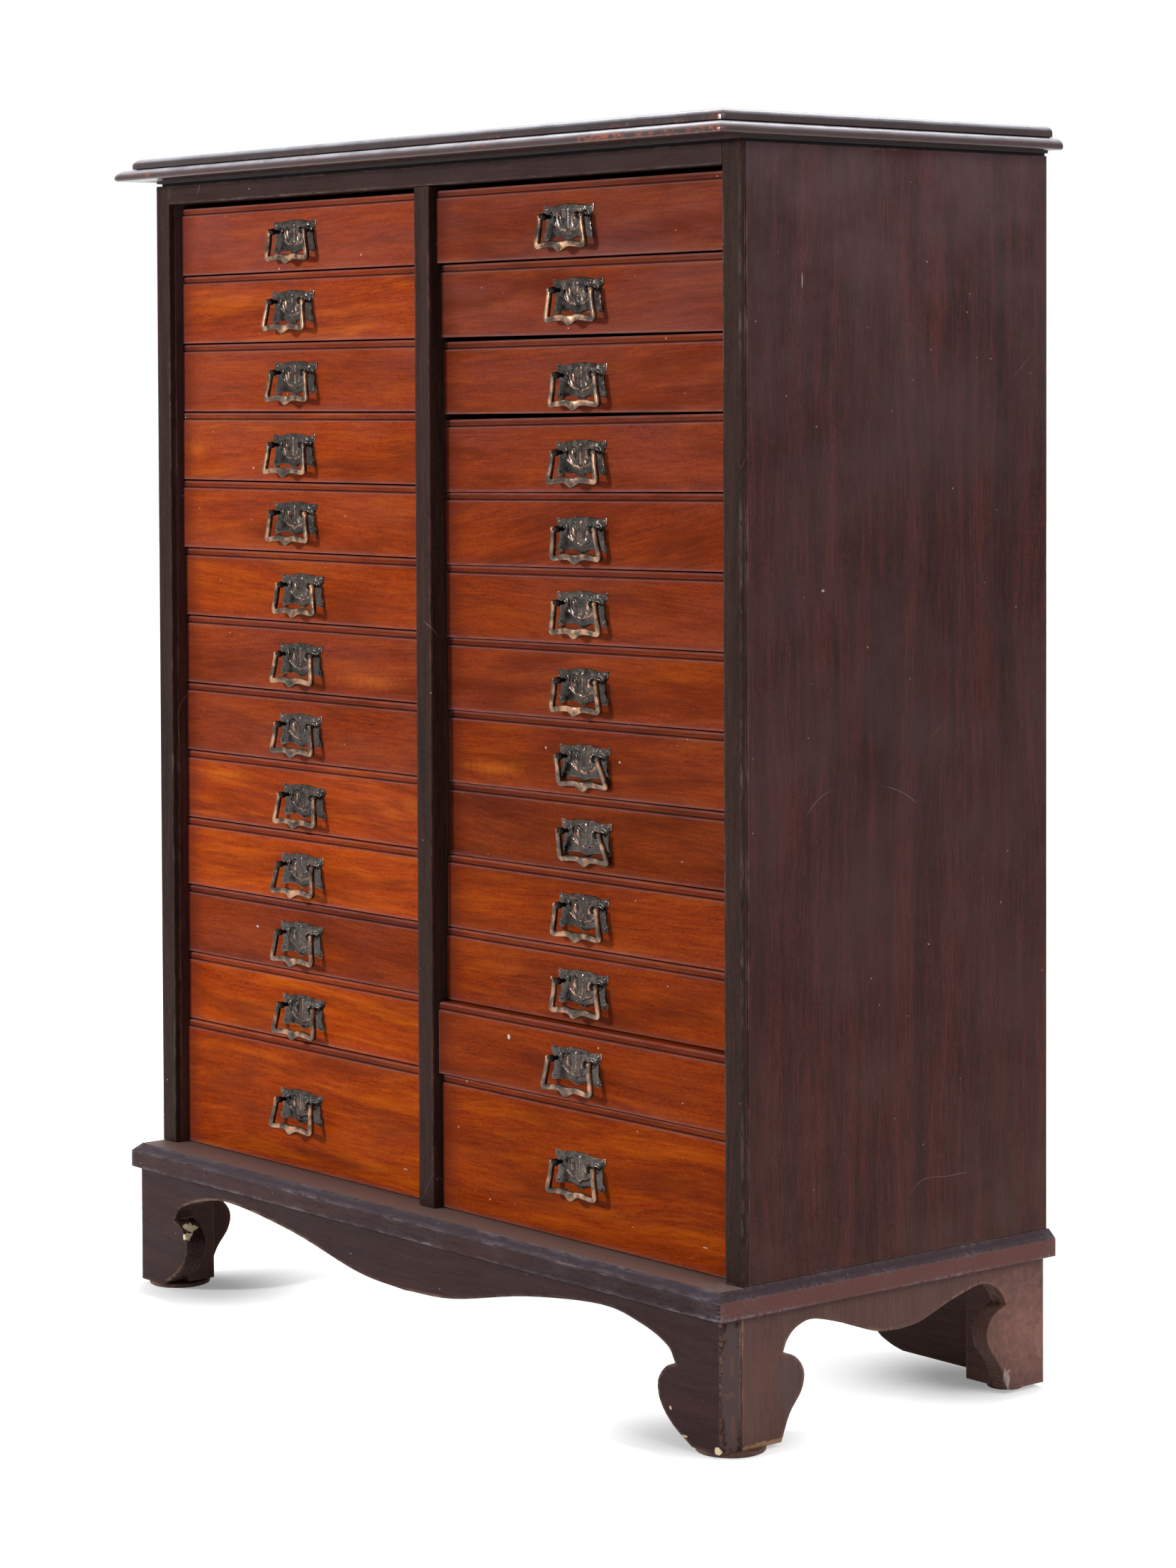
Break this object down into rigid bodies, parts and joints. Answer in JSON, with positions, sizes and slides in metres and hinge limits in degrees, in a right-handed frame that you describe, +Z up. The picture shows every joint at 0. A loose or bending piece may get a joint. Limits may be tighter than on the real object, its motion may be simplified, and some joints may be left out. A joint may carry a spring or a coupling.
{
  "type": "collectors cabinet",
  "caption": "Collectors cabinet: two banks of shallow drawers with swinging bail handles, between dark sides, under a moulded top and on a shaped bracket plinth.",
  "frame": {"origin": "on the floor, at the middle of the whole object's bounding box", "axes": "+Z up, +X to the right seen from the front, the drawer fronts face -Y"},
  "size_m": [1.017, 0.4532, 1.2574],
  "materials": {
    "ebonised_top": "near-black polished wood with worn reddish edges",
    "dark_side": "dark stained mahogany, dusty satin",
    "dark_rail": "near-black brown stained wood, satin",
    "back_boards": "plain unpolished brown wood",
    "mahogany_drawer": "red-brown polished mahogany with figured grain",
    "bronze": "dark bronzed brass with rubbed copper highlights"
  },
  "bodies": {
    "carcass": {"top_board": "ebonised_top", "left_side": "dark_side", "right_side": "dark_side", "centre_divider": "dark_rail", "top_rail": "dark_rail", "back_panel": "back_boards", "base_board": "dark_side", "plinth": "dark_side"},
    "drawer_left_01": {"drawer_left_01": "mahogany_drawer"},
    "bail_left_01": {"bail_left_01": "bronze"},
    "drawer_left_02": {"drawer_left_02": "mahogany_drawer"},
    "bail_left_02": {"bail_left_02": "bronze"},
    "drawer_left_03": {"drawer_left_03": "mahogany_drawer"},
    "bail_left_03": {"bail_left_03": "bronze"},
    "drawer_left_04": {"drawer_left_04": "mahogany_drawer"},
    "bail_left_04": {"bail_left_04": "bronze"},
    "drawer_left_05": {"drawer_left_05": "mahogany_drawer"},
    "bail_left_05": {"bail_left_05": "bronze"},
    "drawer_left_06": {"drawer_left_06": "mahogany_drawer"},
    "bail_left_06": {"bail_left_06": "bronze"},
    "drawer_left_07": {"drawer_left_07": "mahogany_drawer"},
    "bail_left_07": {"bail_left_07": "bronze"},
    "drawer_left_08": {"drawer_left_08": "mahogany_drawer"},
    "bail_left_08": {"bail_left_08": "bronze"},
    "drawer_left_09": {"drawer_left_09": "mahogany_drawer"},
    "bail_left_09": {"bail_left_09": "bronze"},
    "drawer_left_10": {"drawer_left_10": "mahogany_drawer"},
    "bail_left_10": {"bail_left_10": "bronze"},
    "drawer_left_11": {"drawer_left_11": "mahogany_drawer"},
    "bail_left_11": {"bail_left_11": "bronze"},
    "drawer_left_12": {"drawer_left_12": "mahogany_drawer"},
    "bail_left_12": {"bail_left_12": "bronze"},
    "drawer_left_13": {"drawer_left_13": "mahogany_drawer"},
    "bail_left_13": {"bail_left_13": "bronze"},
    "drawer_right_01": {"drawer_right_01": "mahogany_drawer"},
    "bail_right_01": {"bail_right_01": "bronze"},
    "drawer_right_02": {"drawer_right_02": "mahogany_drawer"},
    "bail_right_02": {"bail_right_02": "bronze"},
    "drawer_right_03": {"drawer_right_03": "mahogany_drawer"},
    "bail_right_03": {"bail_right_03": "bronze"},
    "drawer_right_04": {"drawer_right_04": "mahogany_drawer"},
    "bail_right_04": {"bail_right_04": "bronze"},
    "drawer_right_05": {"drawer_right_05": "mahogany_drawer"},
    "bail_right_05": {"bail_right_05": "bronze"},
    "drawer_right_06": {"drawer_right_06": "mahogany_drawer"},
    "bail_right_06": {"bail_right_06": "bronze"},
    "drawer_right_07": {"drawer_right_07": "mahogany_drawer"},
    "bail_right_07": {"bail_right_07": "bronze"},
    "drawer_right_08": {"drawer_right_08": "mahogany_drawer"},
    "bail_right_08": {"bail_right_08": "bronze"},
    "drawer_right_09": {"drawer_right_09": "mahogany_drawer"},
    "bail_right_09": {"bail_right_09": "bronze"},
    "drawer_right_10": {"drawer_right_10": "mahogany_drawer"},
    "bail_right_10": {"bail_right_10": "bronze"},
    "drawer_right_11": {"drawer_right_11": "mahogany_drawer"},
    "bail_right_11": {"bail_right_11": "bronze"},
    "drawer_right_12": {"drawer_right_12": "mahogany_drawer"},
    "bail_right_12": {"bail_right_12": "bronze"},
    "drawer_right_13": {"drawer_right_13": "mahogany_drawer"},
    "bail_right_13": {"bail_right_13": "bronze"}
  },
  "joints": [
    {"name": "slide_left_01", "type": "slide", "parent": "carcass", "child": "drawer_left_01", "axis": [0, -1, 0], "range_m": [-0.00798, 0.3]},
    {"name": "swing_left_01", "type": "hinge", "parent": "drawer_left_01", "child": "bail_left_01", "pos_m": [-0.24375, -0.17913, 1.17039], "axis": [-1, 0, 0], "range_deg": [-16, 152]},
    {"name": "slide_left_02", "type": "slide", "parent": "carcass", "child": "drawer_left_02", "axis": [0, -1, 0], "range_m": [-0.00744, 0.3]},
    {"name": "swing_left_02", "type": "hinge", "parent": "drawer_left_02", "child": "bail_left_02", "pos_m": [-0.24875, -0.17859, 1.09536], "axis": [-1, 0, 0], "range_deg": [-21, 147]},
    {"name": "slide_left_03", "type": "slide", "parent": "carcass", "child": "drawer_left_03", "axis": [0, -1, 0], "range_m": [-0.00708, 0.3]},
    {"name": "swing_left_03", "type": "hinge", "parent": "drawer_left_03", "child": "bail_left_03", "pos_m": [-0.24475, -0.17823, 1.01909], "axis": [-1, 0, 0], "range_deg": [-20, 148]},
    {"name": "slide_left_04", "type": "slide", "parent": "carcass", "child": "drawer_left_04", "axis": [0, -1, 0], "range_m": [-0.00798, 0.3]},
    {"name": "swing_left_04", "type": "hinge", "parent": "drawer_left_04", "child": "bail_left_04", "pos_m": [-0.24775, -0.17913, 0.94131], "axis": [-1, 0, 0], "range_deg": [-21, 147]},
    {"name": "slide_left_05", "type": "slide", "parent": "carcass", "child": "drawer_left_05", "axis": [0, -1, 0], "range_m": [-0.00852, 0.3]},
    {"name": "swing_left_05", "type": "hinge", "parent": "drawer_left_05", "child": "bail_left_05", "pos_m": [-0.24475, -0.17967, 0.86829], "axis": [-1, 0, 0], "range_deg": [-18, 150]},
    {"name": "slide_left_06", "type": "slide", "parent": "carcass", "child": "drawer_left_06", "axis": [0, -1, 0], "range_m": [-0.00546, 0.3]},
    {"name": "swing_left_06", "type": "hinge", "parent": "drawer_left_06", "child": "bail_left_06", "pos_m": [-0.23675, -0.17661, 0.79076], "axis": [-1, 0, 0], "range_deg": [-19, 149]},
    {"name": "slide_left_07", "type": "slide", "parent": "carcass", "child": "drawer_left_07", "axis": [0, -1, 0], "range_m": [-0.00456, 0.3]},
    {"name": "swing_left_07", "type": "hinge", "parent": "drawer_left_07", "child": "bail_left_07", "pos_m": [-0.24175, -0.17571, 0.71574], "axis": [-1, 0, 0], "range_deg": [-21, 147]},
    {"name": "slide_left_08", "type": "slide", "parent": "carcass", "child": "drawer_left_08", "axis": [0, -1, 0], "range_m": [-0.00546, 0.3]},
    {"name": "swing_left_08", "type": "hinge", "parent": "drawer_left_08", "child": "bail_left_08", "pos_m": [-0.24175, -0.17661, 0.63996], "axis": [-1, 0, 0], "range_deg": [-19, 149]},
    {"name": "slide_left_09", "type": "slide", "parent": "carcass", "child": "drawer_left_09", "axis": [0, -1, 0], "range_m": [-0.00492, 0.3]},
    {"name": "swing_left_09", "type": "hinge", "parent": "drawer_left_09", "child": "bail_left_09", "pos_m": [-0.23675, -0.17607, 0.56369], "axis": [-1, 0, 0], "range_deg": [-22, 146]},
    {"name": "slide_left_10", "type": "slide", "parent": "carcass", "child": "drawer_left_10", "axis": [0, -1, 0], "range_m": [-0.006, 0.3]},
    {"name": "swing_left_10", "type": "hinge", "parent": "drawer_left_10", "child": "bail_left_10", "pos_m": [-0.23975, -0.17715, 0.48841], "axis": [-1, 0, 0], "range_deg": [-23, 145]},
    {"name": "slide_left_11", "type": "slide", "parent": "carcass", "child": "drawer_left_11", "axis": [0, -1, 0], "range_m": [-0.00546, 0.3]},
    {"name": "swing_left_11", "type": "hinge", "parent": "drawer_left_11", "child": "bail_left_11", "pos_m": [-0.24275, -0.17661, 0.41414], "axis": [-1, 0, 0], "range_deg": [-21, 147]},
    {"name": "slide_left_12", "type": "slide", "parent": "carcass", "child": "drawer_left_12", "axis": [0, -1, 0], "range_m": [-0.00492, 0.3]},
    {"name": "swing_left_12", "type": "hinge", "parent": "drawer_left_12", "child": "bail_left_12", "pos_m": [-0.24075, -0.17607, 0.33536], "axis": [-1, 0, 0], "range_deg": [-22, 146]},
    {"name": "slide_left_13", "type": "slide", "parent": "carcass", "child": "drawer_left_13", "axis": [0, -1, 0], "range_m": [-0.00708, 0.3]},
    {"name": "swing_left_13", "type": "hinge", "parent": "drawer_left_13", "child": "bail_left_13", "pos_m": [-0.24275, -0.17823, 0.2323], "axis": [-1, 0, 0], "range_deg": [-23, 145]},
    {"name": "slide_right_01", "type": "slide", "parent": "carcass", "child": "drawer_right_01", "axis": [0, -1, 0], "range_m": [-0.015, 0.3]},
    {"name": "swing_right_01", "type": "hinge", "parent": "drawer_right_01", "child": "bail_right_01", "pos_m": [0.22775, -0.18615, 1.16839], "axis": [-1, 0, 0], "range_deg": [-16, 152]},
    {"name": "slide_right_02", "type": "slide", "parent": "carcass", "child": "drawer_right_02", "axis": [0, -1, 0], "range_m": [-0.00996, 0.3]},
    {"name": "swing_right_02", "type": "hinge", "parent": "drawer_right_02", "child": "bail_right_02", "pos_m": [0.23575, -0.18111, 1.09636], "axis": [-1, 0, 0], "range_deg": [-16, 152]},
    {"name": "slide_right_03", "type": "slide", "parent": "carcass", "child": "drawer_right_03", "axis": [0, -1, 0], "range_m": [-0.00654, 0.3]},
    {"name": "swing_right_03", "type": "hinge", "parent": "drawer_right_03", "child": "bail_right_03", "pos_m": [0.23675, -0.17769, 1.01308], "axis": [-1, 0, -0.0067], "range_deg": [-15, 153]},
    {"name": "slide_right_04", "type": "slide", "parent": "carcass", "child": "drawer_right_04", "axis": [0, -1, 0], "range_m": [-0.00456, 0.3]},
    {"name": "swing_right_04", "type": "hinge", "parent": "drawer_right_04", "child": "bail_right_04", "pos_m": [0.23275, -0.17571, 0.93723], "axis": [-0.9999, 0, -0.0156], "range_deg": [-18, 150]},
    {"name": "slide_right_05", "type": "slide", "parent": "carcass", "child": "drawer_right_05", "axis": [0, -1, 0], "range_m": [-0.00492, 0.3]},
    {"name": "swing_right_05", "type": "hinge", "parent": "drawer_right_05", "child": "bail_right_05", "pos_m": [0.23375, -0.17607, 0.86176], "axis": [-0.9999, 0, -0.0133], "range_deg": [-11, 157]},
    {"name": "slide_right_06", "type": "slide", "parent": "carcass", "child": "drawer_right_06", "axis": [0, -1, 0], "range_m": [-0.00456, 0.3]},
    {"name": "swing_right_06", "type": "hinge", "parent": "drawer_right_06", "child": "bail_right_06", "pos_m": [0.23372, -0.17571, 0.78877], "axis": [-0.9999, 0, -0.0109], "range_deg": [-14, 154]},
    {"name": "slide_right_07", "type": "slide", "parent": "carcass", "child": "drawer_right_07", "axis": [0, -1, 0], "range_m": [-0.00294, 0.3]},
    {"name": "swing_right_07", "type": "hinge", "parent": "drawer_right_07", "child": "bail_right_07", "pos_m": [0.23274, -0.17409, 0.71231], "axis": [-1, 0, -0.0084], "range_deg": [-16, 152]},
    {"name": "slide_right_08", "type": "slide", "parent": "carcass", "child": "drawer_right_08", "axis": [0, -1, 0], "range_m": [-0.00204, 0.3]},
    {"name": "swing_right_08", "type": "hinge", "parent": "drawer_right_08", "child": "bail_right_08", "pos_m": [0.23374, -0.17319, 0.63711], "axis": [-1, 0, -0.0059], "range_deg": [0, 168]},
    {"name": "slide_right_09", "type": "slide", "parent": "carcass", "child": "drawer_right_09", "axis": [0, -1, 0], "range_m": [-0.00204, 0.3]},
    {"name": "swing_right_09", "type": "hinge", "parent": "drawer_right_09", "child": "bail_right_09", "pos_m": [0.23574, -0.17319, 0.56316], "axis": [-1, 0, -0.0034], "range_deg": [-1, 167]},
    {"name": "slide_right_10", "type": "slide", "parent": "carcass", "child": "drawer_right_10", "axis": [0, -1, 0], "range_m": [-0.00492, 0.3]},
    {"name": "swing_right_10", "type": "hinge", "parent": "drawer_right_10", "child": "bail_right_10", "pos_m": [0.23475, -0.17607, 0.48966], "axis": [-1, 0, -0.0011], "range_deg": [-15, 153]},
    {"name": "slide_right_11", "type": "slide", "parent": "carcass", "child": "drawer_right_11", "axis": [0, -1, 0], "range_m": [-0.006, 0.3]},
    {"name": "swing_right_11", "type": "hinge", "parent": "drawer_right_11", "child": "bail_right_11", "pos_m": [0.23475, -0.17715, 0.41439], "axis": [-1, 0, 0], "range_deg": [-16, 152]},
    {"name": "slide_right_12", "type": "slide", "parent": "carcass", "child": "drawer_right_12", "axis": [0, -1, 0], "range_m": [-0.01752, 0.3]},
    {"name": "swing_right_12", "type": "hinge", "parent": "drawer_right_12", "child": "bail_right_12", "pos_m": [0.23775, -0.18867, 0.33936], "axis": [-1, 0, 0], "range_deg": [-20, 148]},
    {"name": "slide_right_13", "type": "slide", "parent": "carcass", "child": "drawer_right_13", "axis": [0, -1, 0], "range_m": [-0.01302, 0.3]},
    {"name": "swing_right_13", "type": "hinge", "parent": "drawer_right_13", "child": "bail_right_13", "pos_m": [0.23775, -0.18417, 0.23555], "axis": [-1, 0, 0], "range_deg": [-18, 150]}
  ]
}
